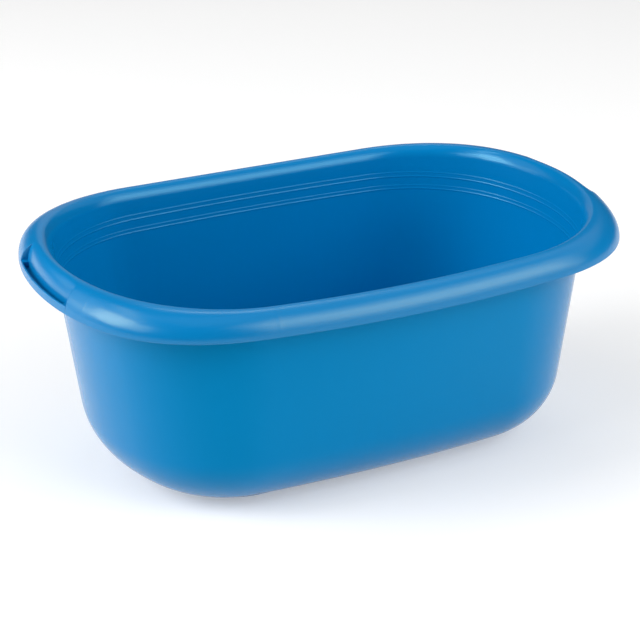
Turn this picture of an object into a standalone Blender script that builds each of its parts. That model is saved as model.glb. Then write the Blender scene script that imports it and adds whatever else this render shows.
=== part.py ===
"""Oval laundry tub with a rolled rim, two inside beads and a grooved grip at each end.

The tub is one moulding. It is modelled as its named regions, which meet face to face.
Metres, +Z up, +X along the tub, the camera's side at -Y. The foot stands on z = 0.
"""

import math

import bmesh
import bpy
from mathutils import Vector

# Overall size
TUB_LENGTH = 0.660
TUB_WIDTH = 0.436
LIP_HEIGHT = 0.253
LIP_END_RISE = 0.0092

# Plan of the lip: side, corner and end arcs, each tangent to the next
SIDE_ARC_RADIUS = 1.90
END_ARC_RADIUS = 0.235
END_ARC_ANGLE = math.radians(21.5)

# Rim: the roll outside the lip and the flare inside it
RIM_SIDE_WIDTH = 0.0225
RIM_END_WIDTH = 0.0235
RIM_CORNER_EXTRA = 0.0093
RIM_SIDE_DROP = 0.0245
RIM_END_DROP = 0.029
LIP_CREST = 0.0005
LIP_EDGE_RADIUS = 0.0015
FLARE_LEAN = math.radians(60)
UNDERSIDE_START = math.radians(14)
SEAM_MARGIN = 0.0055

# Wall, bend and floor
SHELL = 0.0023
WALL_INSET = 0.0052
SIDE_DRAFT = math.radians(4.8)
END_DRAFT = math.radians(7.8)
BEND_RADIUS = 0.074

# Foot ring: its own nearly straight-sided oval, set out from where the bend meets the floor
FOOT_HEIGHT = 0.005
FOOT_WIDTH = 0.004
FOOT_TAPER = 0.0004
FOOT_SIDE_OUTSET = 0.0101
FOOT_END_OUTSET = 0.0106
FOOT_SIDE_ARC_RADIUS = 6.0
FOOT_END_ARC_RADIUS = 0.136
FOOT_END_ARC_ANGLE = math.radians(37.4)

# Beads inside the wall: each a low band with a fine ridge along both edges.
# Depths are measured down from the lip at the middle of a side, pitches from ridge to ridge.
UPPER_BEAD_DEPTH = 0.0293
LOWER_BEAD_DEPTH = 0.0448
UPPER_BEAD_PITCH = 0.005
LOWER_BEAD_PITCH = 0.004
BEAD_END_RISE = 0.0025
BEAD_BAND_STAND = 0.0003
RIDGE_WIDTH = 0.002
RIDGE_STAND = 0.0011

# Grips at the two ends: the roll is scooped down to a groove, with a bar left along its outside
GRIP_LENGTH = 0.138
SCOOP_START = 0.003  # how far outside the lip line the scoop leaves the roll
GROOVE_WIDTH = 0.0055
BAR_THICKNESS = 0.003
BAR_HEIGHT = 0.0085

# Gap between pieces that don't meet on a flat face
CLEARANCE = 0.0003
MERGE_DISTANCE = 1e-6

# Facets
END_STEPS = 6
END_MARGIN_STEPS = 1
CORNER_STEPS = 8
SIDE_STEPS = 8
BEND_STEPS = 7
WALL_STEPS = 2
LEAD_STEPS = 1
ROLL_STEPS = 9
UNDERSIDE_STEPS = 7
FLARE_STEPS = 4
LIP_EDGE_STEPS = 2
BAR_STEPS = 4
SHARP_ANGLE = math.radians(28)

# Plastic
BLUE = (0.0, 0.19, 0.46, 1.0)
ROUGHNESS = 0.3

QUARTER = math.pi / 2


class Oval:
    """A symmetric oval of side, corner and end arcs. The corner radius follows from the rest."""

    def __init__(self, half_length, half_width, side_radius, end_radius, end_angle):
        self.side_radius = side_radius
        self.end_radius = end_radius
        self.end_angle = end_angle
        self.side_centre = Vector((0.0, half_width - side_radius))
        self.end_centre = Vector((half_length - end_radius, 0.0))
        outward = Vector((math.cos(end_angle), math.sin(end_angle)))
        joint = self.end_centre + outward * end_radius
        reach = joint - self.side_centre
        closing = 2 * (reach.dot(outward) - side_radius)
        self.corner_radius = (reach.length_squared - side_radius ** 2) / closing
        self.corner_centre = joint - outward * self.corner_radius
        to_corner = self.corner_centre - self.side_centre
        self.side_angle = math.atan2(to_corner.y, to_corner.x)

    def point(self, angle):
        """The point whose outward normal has this angle, and that normal."""
        normal = Vector((math.cos(angle), math.sin(angle)))
        folded = Vector((abs(normal.x), abs(normal.y)))
        turn = math.atan2(folded.y, folded.x)
        if turn <= self.end_angle:
            place = self.end_centre + folded * self.end_radius
        elif turn <= self.side_angle:
            place = self.corner_centre + folded * self.corner_radius
        else:
            place = self.side_centre + folded * self.side_radius
        return Vector((math.copysign(place.x, normal.x), math.copysign(place.y, normal.y))), normal

    def outside(self, place):
        """How far a point lies outside the oval, negative when it lies inside."""
        folded = Vector((abs(place.x), abs(place.y)))
        from_end = folded - self.end_centre
        if math.atan2(from_end.y, from_end.x) <= self.end_angle:
            return from_end.length - self.end_radius
        from_side = folded - self.side_centre
        if math.atan2(from_side.y, from_side.x) >= self.side_angle:
            return from_side.length - self.side_radius
        return (folded - self.corner_centre).length - self.corner_radius


LIP_HALF_LENGTH = TUB_LENGTH / 2 - RIM_END_WIDTH
LIP_HALF_WIDTH = TUB_WIDTH / 2 - RIM_SIDE_WIDTH
LIP = Oval(LIP_HALF_LENGTH, LIP_HALF_WIDTH, SIDE_ARC_RADIUS, END_ARC_RADIUS, END_ARC_ANGLE)
GRIP_ANGLE = math.asin(GRIP_LENGTH / 2 / (END_ARC_RADIUS + RIM_END_WIDTH))
WEB_ANGLE = SHELL / (END_ARC_RADIUS + RIM_END_WIDTH)


def blend(side_value, end_value, normal):
    return side_value * normal.y ** 2 + end_value * normal.x ** 2


class Station:
    """One upright cut through the tub, square to the lip. r runs outward from the lip line."""

    def __init__(self, angle):
        self.lip, self.normal = LIP.point(angle)
        sweep = (self.lip.x / LIP_HALF_LENGTH) ** 2
        self.lip_height = LIP_HEIGHT + LIP_END_RISE * sweep
        self.bead_rise = BEAD_END_RISE * sweep
        self.draft = blend(SIDE_DRAFT, END_DRAFT, self.normal)
        self.drop = blend(RIM_SIDE_DROP, RIM_END_DROP, self.normal)
        corner = 4 * self.normal.x ** 2 * self.normal.y ** 2
        self.width = blend(RIM_SIDE_WIDTH, RIM_END_WIDTH, self.normal) + RIM_CORNER_EXTRA * corner
        flare_start = LIP_EDGE_RADIUS * math.cos(FLARE_LEAN) - LIP_CREST
        edge_depth = LIP_EDGE_RADIUS * (1 - math.sin(FLARE_LEAN))
        across = math.cos(self.draft) - math.cos(FLARE_LEAN)
        along = math.sin(FLARE_LEAN) - math.sin(self.draft)
        run = WALL_INSET + SHELL / math.cos(self.draft) - flare_start + edge_depth * math.tan(self.draft)
        self.flare_radius = run / (across - along * math.tan(self.draft))
        self.flare_depth = edge_depth + self.flare_radius * along
        self.flare_r = -flare_start + self.flare_radius * math.cos(FLARE_LEAN)
        self.flare_z = self.lip_height - edge_depth - self.flare_radius * math.sin(FLARE_LEAN)
        self.bend_z = FOOT_HEIGHT + BEND_RADIUS
        bend_tangent = self.bend_z - BEND_RADIUS * math.sin(self.draft)
        self.bend_r = self.wall(bend_tangent) - BEND_RADIUS * math.cos(self.draft)

    def wall(self, height):
        """r of the wall's outer face at a height."""
        return -WALL_INSET - (self.lip_height - height) * math.tan(self.draft)

    def inner_wall(self, height):
        return self.wall(height) - SHELL / math.cos(self.draft)

    def place(self, r, height):
        flat = self.lip + self.normal * r
        return Vector((flat.x, flat.y, height))

    def section(self, points):
        return [self.place(r, height) for r, height in points]


def steps(start, stop, count):
    return [start + (stop - start) * index / count for index in range(count + 1)]


def end_angles(middle):
    """Stations of an end, with extra ones at the grip's ends and their webs."""
    web = GRIP_ANGLE + WEB_ANGLE
    lower = steps(middle - END_ARC_ANGLE, middle - web, END_MARGIN_STEPS)
    grip = steps(middle - GRIP_ANGLE, middle + GRIP_ANGLE, END_STEPS)
    upper = steps(middle + web, middle + END_ARC_ANGLE, END_MARGIN_STEPS)
    return lower + grip + upper


REGIONS = {
    "right_end": end_angles(0.0),
    "back_right": steps(END_ARC_ANGLE, LIP.side_angle, CORNER_STEPS),
    "back": steps(LIP.side_angle, math.pi - LIP.side_angle, SIDE_STEPS),
    "back_left": steps(math.pi - LIP.side_angle, math.pi - END_ARC_ANGLE, CORNER_STEPS),
    "left_end": end_angles(math.pi),
    "front_left": steps(math.pi + END_ARC_ANGLE, math.pi + LIP.side_angle, CORNER_STEPS),
    "front": steps(math.pi + LIP.side_angle, 2 * math.pi - LIP.side_angle, SIDE_STEPS),
    "front_right": steps(2 * math.pi - LIP.side_angle, 2 * math.pi - END_ARC_ANGLE, CORNER_STEPS),
}
ROUND_THE_TUB = [Station(angle) for angles in REGIONS.values() for angle in angles[:-1]]
FLARE_DEPTH = max(station.flare_depth for station in ROUND_THE_TUB)
SEAM_HEIGHT = LIP_HEIGHT - FLARE_DEPTH - SEAM_MARGIN


def wall_face(station, radius, face):
    """One face of the wall: round the bend from the floor's edge, then up to the rim."""
    turns = steps(QUARTER, station.draft, BEND_STEPS)
    bend = [(station.bend_r + radius * math.cos(turn), station.bend_z - radius * math.sin(turn))
            for turn in turns]
    heights = steps(bend[-1][1], SEAM_HEIGHT, WALL_STEPS)[1:]
    return bend + [(face(height), height) for height in heights]


def wall_section(station):
    outer = wall_face(station, BEND_RADIUS, station.wall)
    inner = wall_face(station, BEND_RADIUS - SHELL, station.inner_wall)
    return station.section(outer + inner[::-1])


def roll(station, width, drop, turns):
    """Quarter ellipse from the crest outward and down."""
    across = width - LIP_CREST
    return [(LIP_CREST + across * math.sin(turn), station.lip_height - drop * (1 - math.cos(turn)))
            for turn in turns]


def underside(station):
    """The plain roll one shell thickness in, from the bottom edge up to near the crest."""
    turns = steps(QUARTER, UNDERSIDE_START, UNDERSIDE_STEPS)
    inside = roll(station, station.width - SHELL, station.drop - SHELL, turns)
    return [(r, height - SHELL) for r, height in inside]


def flare(station, radius, leans):
    return [(station.flare_r - radius * math.cos(lean), station.flare_z + radius * math.sin(lean))
            for lean in leans]


def rim_section(station, outer, under):
    """Rim cut with a given outer face and underside."""
    leans = steps(FLARE_LEAN, station.draft, FLARE_STEPS)
    back = flare(station, station.flare_radius - SHELL, leans)
    seam = [(station.wall(SEAM_HEIGHT), SEAM_HEIGHT), (station.inner_wall(SEAM_HEIGHT), SEAM_HEIGHT)]
    face = flare(station, station.flare_radius, leans[::-1])
    edge_turns = steps(FLARE_LEAN, QUARTER, LIP_EDGE_STEPS)[1:-1]
    edge = [(LIP_CREST - LIP_EDGE_RADIUS * math.cos(turn),
             station.lip_height - LIP_EDGE_RADIUS * (1 - math.sin(turn))) for turn in edge_turns]
    return station.section(outer + under + back + seam + face + edge)


def scoop_turn(station):
    """Where round the roll a scoop leaves it."""
    return math.asin((SCOOP_START - LIP_CREST) / (station.width - LIP_CREST))


def scoop_width(station):
    return station.width - BAR_THICKNESS - GROOVE_WIDTH


def scoop(station, inset, turns):
    """Quarter ellipse down to the groove's floor, inset from the scoop's face. It leaves along the roll."""
    leaving = scoop_turn(station)
    slope = station.drop * math.tan(leaving) / (station.width - LIP_CREST)
    start, top = roll(station, station.width, station.drop, [leaving])[0]
    across = scoop_width(station) - inset - start
    low = station.lip_height - station.drop + SHELL - inset
    return [(start + across * math.sin(turn),
             low + (top - inset - low - slope * across * math.sin(turn)) * math.cos(turn)) for turn in turns]


def plain_face(station):
    """Outer face of the plain roll. Its bottom point is repeated to match a scooped one's count."""
    start = scoop_turn(station)
    turns = steps(0.0, start, LEAD_STEPS) + steps(start, QUARTER, ROLL_STEPS - LEAD_STEPS)[1:]
    face = roll(station, station.width, station.drop, turns)
    return face + face[-1:] * 2


def groove_turn(station):
    """Where round the plain roll the groove's floor comes out."""
    return math.acos(SHELL / station.drop)


def scooped_face(station):
    """Outer face inside a grip: along the roll, down the scoop, then out along the groove's floor."""
    lead = roll(station, station.width, station.drop, steps(0.0, scoop_turn(station), LEAD_STEPS))
    down = scoop(station, 0.0, steps(0.0, QUARTER, ROLL_STEPS - LEAD_STEPS))
    edge = roll(station, station.width, station.drop, [groove_turn(station), QUARTER])
    return lead + down[1:] + edge


def scooped_underside(station):
    """The underside inside a grip, a shell thickness inside the scoop."""
    return scoop(station, SHELL, steps(QUARTER, UNDERSIDE_START, UNDERSIDE_STEPS))


def plain_rim(station):
    return rim_section(station, plain_face(station), underside(station))


def end_rim_sections(angles):
    """Plain roll, a web across it at each end of the grip, and the scooped roll between."""
    stations = [Station(angle) for angle in angles]
    webs = [rim_section(station, plain_face(station), scooped_underside(station)) for station in stations]
    scoops = [rim_section(station, scooped_face(station), scooped_underside(station)) for station in stations]
    outer_web = END_MARGIN_STEPS
    inner_web = END_MARGIN_STEPS + 1
    head = [plain_rim(station) for station in stations[:inner_web]]
    tail = [plain_rim(station) for station in stations[-inner_web:]]
    grip = [webs[outer_web], webs[inner_web]] + scoops[inner_web:-inner_web]
    return head + grip + [webs[-inner_web - 1], webs[-outer_web - 1]] + tail


def bar_section(station):
    """The outer bar of a grip: the foot of the plain roll, standing on the groove's floor."""
    top = math.acos(BAR_HEIGHT / station.drop)
    floor = math.acos((SHELL + CLEARANCE) / station.drop)
    outer = roll(station, station.width, station.drop, steps(top, floor, BAR_STEPS))
    inner_r = station.width - BAR_THICKNESS
    return station.section(outer + [(inner_r, outer[-1][1]), (inner_r, outer[0][1])])


def bead_section(station, depth, pitch):
    """A low band on the wall's inner face, with a ridge along its upper and its lower edge."""
    middle = LIP_HEIGHT - depth + station.bead_rise
    upper_half = [
        (pitch / 2 - RIDGE_WIDTH / 2, BEAD_BAND_STAND),
        (pitch / 2, RIDGE_STAND),
        (pitch / 2 + RIDGE_WIDTH / 2, 0.0),
    ]
    lower_half = [(-rise, stand) for rise, stand in upper_half[::-1]]
    return station.section([
        (station.inner_wall(middle + rise) - CLEARANCE - stand, middle + rise)
        for rise, stand in lower_half + upper_half])


FOOT_BASE_END = Station(0.0)
FOOT_BASE_SIDE = Station(QUARTER)
FOOT = Oval(
    LIP_HALF_LENGTH + FOOT_BASE_END.bend_r + FOOT_END_OUTSET,
    LIP_HALF_WIDTH + FOOT_BASE_SIDE.bend_r + FOOT_SIDE_OUTSET,
    FOOT_SIDE_ARC_RADIUS, FOOT_END_ARC_RADIUS, FOOT_END_ARC_ANGLE)


def under_bend(station, r):
    """Height just clear of the bend's underside."""
    beyond = max(r - station.bend_r, 0.0)
    return station.bend_z - math.sqrt(BEND_RADIUS ** 2 - beyond ** 2) - CLEARANCE


def foot_section(station):
    """The rib under the bend. Its outer face is found on the foot's own oval."""
    inside_r = station.bend_r - FOOT_WIDTH
    outside_r = station.bend_r + BEND_RADIUS
    for _ in range(40):
        outer_r = (inside_r + outside_r) / 2
        if FOOT.outside(station.lip + station.normal * outer_r) > 0:
            outside_r = outer_r
        else:
            inside_r = outer_r
    inner_r = outer_r - FOOT_WIDTH
    return station.section([
        (outer_r, under_bend(station, outer_r)), (outer_r - FOOT_TAPER, 0.0),
        (inner_r + FOOT_TAPER, 0.0), (inner_r, under_bend(station, inner_r))])


def loft(name, sections, ring=False):
    """Grow a closed section from station to station, then cap it or, in a ring, join it up."""
    shape = bmesh.new()
    place = shape.verts.layers.int.new("place")
    row = [shape.verts.new(point) for point in sections[0]]
    for index, vert in enumerate(row):
        vert[place] = index
    edges = [shape.edges.new((row[index - 1], row[index])) for index in range(len(row))]
    if not ring:
        shape.faces.new(row)
    for section in sections[1:] + (sections[:1] if ring else []):
        grown = bmesh.ops.extrude_edge_only(shape, edges=edges)["geom"]
        row = [item for item in grown if isinstance(item, bmesh.types.BMVert)]
        edges = [item for item in grown if isinstance(item, bmesh.types.BMEdge) and item.is_boundary]
        for vert in row:
            vert.co = section[vert[place]]
    if not ring:
        shape.faces.new(sorted(row, key=lambda vert: vert[place]))
    bmesh.ops.remove_doubles(shape, verts=shape.verts, dist=MERGE_DISTANCE)
    finish(name, shape)


def finish(name, shape):
    """Turn the bmesh into a named object with its own plastic."""
    bmesh.ops.recalc_face_normals(shape, faces=shape.faces)
    mesh = bpy.data.meshes.new(name)
    shape.to_mesh(mesh)
    shape.free()
    mesh.shade_smooth()
    mesh.set_sharp_from_angle(angle=SHARP_ANGLE)
    mesh.materials.append(plastic(name + "_plastic"))
    bpy.context.scene.collection.objects.link(bpy.data.objects.new(name, mesh))


def plastic(name):
    """Semi-gloss blue polypropylene."""
    material = bpy.data.materials.new(name)
    material.use_nodes = True
    shader = material.node_tree.nodes["Principled BSDF"]
    shader.inputs["Base Color"].default_value = BLUE
    shader.inputs["Roughness"].default_value = ROUGHNESS
    shader.inputs["Metallic"].default_value = 0.0
    return material


def floor_panel():
    """The flat floor, out to where the bend starts."""
    shape = bmesh.new()
    outline = [shape.verts.new(station.place(station.bend_r, FOOT_HEIGHT)) for station in ROUND_THE_TUB]
    base = shape.faces.new(outline)
    grown = bmesh.ops.extrude_face_region(shape, geom=[base])["geom"]
    top = [item for item in grown if isinstance(item, bmesh.types.BMVert)]
    bmesh.ops.translate(shape, verts=top, vec=(0.0, 0.0, SHELL))
    finish("floor_panel", shape)


def walls():
    for region, angles in REGIONS.items():
        loft(region + "_wall", [wall_section(Station(angle)) for angle in angles])


def rims():
    for region, angles in REGIONS.items():
        if region.endswith("_end"):
            loft(region + "_rim", end_rim_sections(angles))
        else:
            loft(region + "_rim", [plain_rim(Station(angle)) for angle in angles])


def grip_bars():
    for side, middle in (("right", 0.0), ("left", math.pi)):
        angles = steps(middle - GRIP_ANGLE, middle + GRIP_ANGLE, END_STEPS)
        loft(side + "_grip_bar", [bar_section(Station(angle)) for angle in angles])


def beads():
    for name, depth, pitch in (
            ("upper_bead", UPPER_BEAD_DEPTH, UPPER_BEAD_PITCH),
            ("lower_bead", LOWER_BEAD_DEPTH, LOWER_BEAD_PITCH)):
        loft(name, [bead_section(station, depth, pitch) for station in ROUND_THE_TUB], ring=True)


def main():
    for item in list(bpy.data.objects):
        bpy.data.objects.remove(item)
    floor_panel()
    loft("foot_ring", [foot_section(station) for station in ROUND_THE_TUB], ring=True)
    walls()
    rims()
    beads()
    grip_bars()


main()
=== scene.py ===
import math

import bmesh
import bpy
from bpy.props import FloatProperty, FloatVectorProperty, PointerProperty
from mathutils import Matrix, Vector


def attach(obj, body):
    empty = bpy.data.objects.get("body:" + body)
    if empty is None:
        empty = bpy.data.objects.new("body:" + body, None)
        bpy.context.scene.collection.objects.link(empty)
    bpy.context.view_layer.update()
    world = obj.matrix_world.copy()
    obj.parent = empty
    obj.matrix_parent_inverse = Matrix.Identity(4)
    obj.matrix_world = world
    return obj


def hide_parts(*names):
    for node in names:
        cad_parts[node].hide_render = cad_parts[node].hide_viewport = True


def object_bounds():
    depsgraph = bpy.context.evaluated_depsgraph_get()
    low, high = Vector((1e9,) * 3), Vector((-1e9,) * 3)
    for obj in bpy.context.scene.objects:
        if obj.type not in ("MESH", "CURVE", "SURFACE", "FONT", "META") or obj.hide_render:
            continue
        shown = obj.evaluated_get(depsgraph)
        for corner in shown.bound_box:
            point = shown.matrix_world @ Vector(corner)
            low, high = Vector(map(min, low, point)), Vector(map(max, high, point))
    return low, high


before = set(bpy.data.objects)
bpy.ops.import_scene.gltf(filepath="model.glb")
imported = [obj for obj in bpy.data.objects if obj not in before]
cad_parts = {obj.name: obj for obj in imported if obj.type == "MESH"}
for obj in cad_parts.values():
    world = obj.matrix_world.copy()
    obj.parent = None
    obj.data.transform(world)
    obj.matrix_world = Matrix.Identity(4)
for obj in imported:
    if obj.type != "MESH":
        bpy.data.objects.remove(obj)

bl_info = {
    "name": "Laundry tub",
    "version": (1, 0, 0),
    "blender": (4, 5, 0),
    "location": "3D View > Sidebar > Laundry tub",
    "description": "Dresses the laundry tub's solids in fine moulded surfaces and blue plastic",
    "category": "Object",
}

CAD_LOW, CAD_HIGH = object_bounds()
BODY = "root"
QUARTER = math.pi / 2
MM = 0.001

# The regions of the moulding, in order round the tub. Each one's wall and rim are pieces.
REGIONS = ("right_end", "back_right", "back", "back_left",
           "left_end", "front_left", "front", "front_right")

# How finely the surfaces are cut, round the tub and round its sections
END_STEPS = 24
END_MARGIN_STEPS = 9
CORNER_STEPS = 56
SIDE_STEPS = 48
BEND_STEPS = 26
WALL_STEPS = 12
LEAD_STEPS = 8
ROLL_STEPS = 26
LOW_STEPS = 2
SHELF_STEPS = 3
UNDERSIDE_STEPS = 14
FLARE_STEPS = 12
LIP_EDGE_STEPS = 5
ROUNDING_STEPS = 5
RIDGE_STEPS = 8
BAR_STEPS = 4
FOOT_SEARCH_STEPS = 40
GATE_SEGMENTS = 48
STUDIO_FLOOR_SEGMENTS = 96
SHARP_ANGLE = math.radians(35)
MERGE_DISTANCE = 1e-7

# The higher it is, the closer to the grip's ends the scoop keeps its depth
SCOOP_END_POWER = 6
# Sections of the rounding at a grip's end, 0 at the cut and 1 where the roll is plain
EASING = (0.0, 0.1, 0.35, 0.65, 1.0)
# Points down the lip's land, 1 at its lower end. Those close to its ends keep it flat.
LAND_SHARES = (1.0, 0.9, 0.1)
# How far inside the bend's start the floor panel meets the walls
FLOOR_SEAM_INSET = 1.0 * MM

PLASTIC_IOR = 1.5
# Each finish: its gloss tint, how much rougher than the polished faces it is, and its streaks
# The parts are one plastic. Their gloss tints differ only as painted reflection colour: the walls',
# floor's and foot's take the red out of what they mirror, the rims' keep their highlights white,
# and the flares' and beads' lie between.
FINISHES = {
    "floor_plastic": ("wall_painted_reflection_tint", 0.04, 0.0),
    "foot_plastic": ("wall_painted_reflection_tint", 0.12, 0.0),
    "wall_plastic": ("wall_painted_reflection_tint", 0.0, 0.5),
    "flare_plastic": ("flare_painted_reflection_tint", 0.0, 0.5),
    "rim_plastic": ("rim_painted_reflection_tint", 0.06, 0.2),
    "bead_plastic": ("flare_painted_reflection_tint", 0.06, 0.0),
}
# Scale and detail of the moulded surface's noises, and where their values centre
CLOUDS = (11.0, 3.0)
STREAKS = (1.0, 4.0)
MOTTLE = (38.0, 5.0)
FINE_PEEL = (900.0, 1.0)
BROAD_PEEL = (140.0, 2.0)
NOISE_MIDDLE = 0.5
# The streaks are squeezed least along z, so they run up and down
STREAK_SQUEEZE = (170.0, 170.0, 7.0)
BROAD_PEEL_STRENGTH = 2.5
PEEL_HEIGHT = 0.02 * MM

SENSOR_WIDTH = 36.0
STUDIO_FLOOR_RADIUS = 12.0
STUDIO_FLOOR_ROUGHNESS = 0.9
WATTS_PER_RADIANCE = 4.0
LAMP_DISTANCE = 4.0
TUB_MIDDLE = (CAD_LOW + CAD_HIGH) / 2

# Each lamp's azimuth and elevation from the tub, its breadth and height as the tub sees them,
# all in degrees, and how bright its face is, 1 being white
LAMPS = (
    ("left_panel", -100.0, 30.0, 24.0, 34.0, 6.5),
    ("left_near_panel", -78.0, 30.0, 20.0, 24.0, 2.8),
    ("left_high_panel", -102.0, 52.0, 20.0, 14.0, 1.6),
    ("left_low_panel", -120.0, 12.0, 22.0, 20.0, 1.2),
    ("left_back_panel", -128.0, 32.0, 30.0, 40.0, 0.65),
    ("left_high_strip", -130.0, 61.0, 22.0, 5.0, 4.0),
    ("right_wide_panel", 36.0, 30.0, 52.0, 54.0, 1.5),
    ("right_front_panel", 33.0, 30.0, 34.0, 28.0, 2.2),
    ("right_high_panel", 100.0, 50.0, 50.0, 40.0, 0.38),
    ("right_back_strip", 126.0, 58.0, 24.0, 5.0, 0.8),
    ("back_strip", 153.0, 52.0, 18.0, 6.0, 4.0),
    ("overhead_panel", 0.0, 82.0, 40.0, 40.0, 0.35),
    ("back_right_panel", 160.0, 20.0, 28.0, 34.0, 0.25),
)


def length(name, millimetres, description):
    return FloatProperty(name=name, description=description, default=millimetres * MM,
                         precision=5, subtype="DISTANCE", unit="LENGTH")


def angle(name, degrees, description):
    return FloatProperty(name=name, description=description, default=math.radians(degrees),
                         subtype="ANGLE", unit="ROTATION")


def share(name, default, description):
    return FloatProperty(name=name, description=description, default=default,
                         subtype="FACTOR", min=0.0, max=1.0)


def colour(name, default, description):
    return FloatVectorProperty(name=name, description=description, default=default,
                               subtype="COLOR", size=3, min=0.0, max=1.0)


class LAUNDRY_TUB_PG_sizes(bpy.types.PropertyGroup):
    """Sizes of the tub."""

    tub_length: length("Length", (CAD_HIGH.x - CAD_LOW.x) / MM, "Over the rims at the two ends")
    tub_width: length("Width", (CAD_HIGH.y - CAD_LOW.y) / MM, "Over the rims at the two sides")
    lip_height: length("Lip height", 253.0, "Lip above the ground, at the middle of a side")
    lip_end_rise: length("Lip end rise", 9.2, "How much higher the lip is at the ends")
    side_arc_radius: length("Side arc radius", 1900.0, "Radius of the lip's long sides in plan")
    end_arc_radius: length("End arc radius", 235.0, "Radius of the lip's ends in plan")
    end_arc_angle: angle("End arc angle", 21.5, "Half the turn of the lip's end arc")
    rim_side_width: length("Rim width, sides", 22.5, "From the lip line out to the roll's edge")
    rim_end_width: length("Rim width, ends", 23.5, "From the lip line out to the roll's edge")
    rim_corner_extra: length("Rim width, corners", 9.3, "How much wider the roll is there")
    rim_side_drop: length("Rim drop, sides", 24.5, "From the lip down to the roll's bottom edge")
    rim_end_drop: length("Rim drop, ends", 29.0, "From the lip down to the roll's bottom edge")
    lip_crest: length("Lip crest", 0.5, "From the lip line to where the roll starts")
    lip_edge_radius: length("Lip edge radius", 1.5, "Rounding between the flare and the roll")
    lip_land: length("Lip land", 1.5, "Width of the narrow slope along the lip's inner edge")
    lip_land_lean: angle("Lip land lean", 15.5, "How much that slope leans in")
    lip_land_shift: length("Lip land shift", 0.7, "How much further out it puts the roll's start")
    flare_lean: angle("Flare lean", 60.0, "Lean of the flare where it meets the lip's edge")
    underside_start: angle("Underside start", 14.0, "Where the roll's underside ends under the lip")
    seam_margin: length("Seam margin", 5.5, "Straight wall below the flare")
    shell: length("Wall thickness", 2.3, "Thickness of the moulding")
    wall_inset: length("Wall inset", 5.2, "Wall's outer face inside the lip line, at lip height")
    side_draft: angle("Side draft", 4.8, "Lean of the long walls")
    end_draft: angle("End draft", 7.8, "Lean of the end walls")
    bend_radius: length("Bend radius", 74.0, "Outer radius between wall and floor")
    foot_height: length("Foot height", 5.0, "Floor's underside above the ground")
    foot_width: length("Foot width", 4.0, "Thickness of the foot's rib")
    foot_taper: length("Foot taper", 0.4, "How much each face of the rib leans in")
    foot_side_outset: length("Foot outset, sides", 10.1, "Outer face beyond the bend's start")
    foot_end_outset: length("Foot outset, ends", 10.6, "Outer face beyond the bend's start")
    foot_side_arc_radius: length("Foot side arc radius", 6000.0, "Radius of the rib's long sides")
    foot_end_arc_radius: length("Foot end arc radius", 136.0, "Radius of the rib's ends in plan")
    foot_end_arc_angle: angle("Foot end arc angle", 37.4, "Half the turn of the rib's end arc")
    upper_bead_depth: length("Upper bead depth", 30.5, "Below the lip at the middle of a side")
    lower_bead_depth: length("Lower bead depth", 46.0, "Below the lip at the middle of a side")
    upper_bead_pitch: length("Upper bead pitch", 5.0, "Between the bead's two ridges")
    lower_bead_pitch: length("Lower bead pitch", 4.0, "Between the bead's two ridges")
    bead_end_rise: length("Bead end rise", 2.0, "How much higher the beads are at the ends")
    bead_band_stand: length("Bead band stand", 0.1, "Band between the ridges, proud of the wall")
    ridge_width: length("Ridge width", 3.0, "Width of a bead's ridge")
    ridge_stand: length("Ridge stand", 0.42, "Height of a bead's lower ridge")
    upper_ridge_share: share("Upper ridge share", 0.6, "Its height against the lower ridge's")
    grip_length: length("Grip length", 138.0, "Length of the scoop at each end")
    groove_length: length("Groove length", 124.0, "Length of the groove and of its bar")
    scoop_start: length("Scoop start, middle", 3.0, "Where it leaves the roll, beyond the lip line")
    scoop_end_start: length("Scoop start, ends", 9.0, "The same at the two ends of the grip")
    groove_width: length("Groove width", 5.5, "Between the scoop and the grip's bar")
    bar_thickness: length("Bar thickness", 3.0, "Thickness of the grip's outer bar")
    bar_height: length("Bar height", 8.5, "Top of the bar above the roll's bottom edge")
    edge_rounding: length("Edge rounding", 0.7, "Of the roll's bottom, foot and grips' ends")
    bar_rounding: length("Bar rounding", 0.9, "Rounding along the top of the grip's bar")
    groove_fillet: length("Groove fillet", 1.4, "Fillet between the scoop and the groove's floor")
    witness_width: length("Witness line width", 0.9, "Fine lines where the mould's parts meet")
    witness_stand: length("Witness line stand", 0.06, "Height of those lines")
    gate_radius: length("Gate mark radius", 7.0, "Moulding's gate mark under the floor")
    gate_depth: length("Gate mark depth", 0.5, "Depth of the gate mark")


class LAUNDRY_TUB_PG_plastic(bpy.types.PropertyGroup):
    """The plastic's colour and gloss."""

    blue: colour("Blue", (0.0, 0.197, 0.49), "Colour of the plastic")
    # The gloss tints are painted reflection colour, set part by part on one plastic so that the
    # walls mirror no red and the rims' highlights stay white.
    wall_painted_reflection_tint: colour("Gloss tint, walls", (0.0, 0.9, 1.0), "Of what walls mirror head-on")
    flare_painted_reflection_tint: colour("Gloss tint, flares", (0.4, 0.9, 1.0), "Of what flares and beads mirror")
    rim_painted_reflection_tint: colour("Gloss tint, rims", (0.75, 0.95, 0.65), "Of what rims mirror head-on")
    roughness: share("Roughness", 0.2, "Roughness of the polished faces")
    shade_range: share("Shade range", 0.05, "How much the colour varies over the moulding")
    gloss_range: share("Gloss range", 0.05, "How much the roughness varies")


class LAUNDRY_TUB_PG_stage(bpy.types.PropertyGroup):
    """Camera, floor and room."""

    azimuth: angle("Azimuth", -26.84, "Camera's direction round the tub, from the front")
    elevation: angle("Elevation", 23.93, "Camera's height above the horizon")
    distance: length("Distance", 2081.4, "From the camera to its aim")
    aim_x: length("Aim, along", -2.84, "Where the camera looks, along the tub")
    aim_z: length("Aim, up", 135.6, "Where the camera looks, above the ground")
    lens: FloatProperty(name="Lens", description="Focal length, in millimetres", default=104.64)
    floor_colour: share("Floor colour", 0.75, "Lightness of the floor")
    floor_lift: share("Floor lift", 0.33, "The floor's own glow, only seen and mirrored")
    room_level: FloatProperty(
        name="Room level", description="Strength of the room's plain light", default=0.03)


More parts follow.
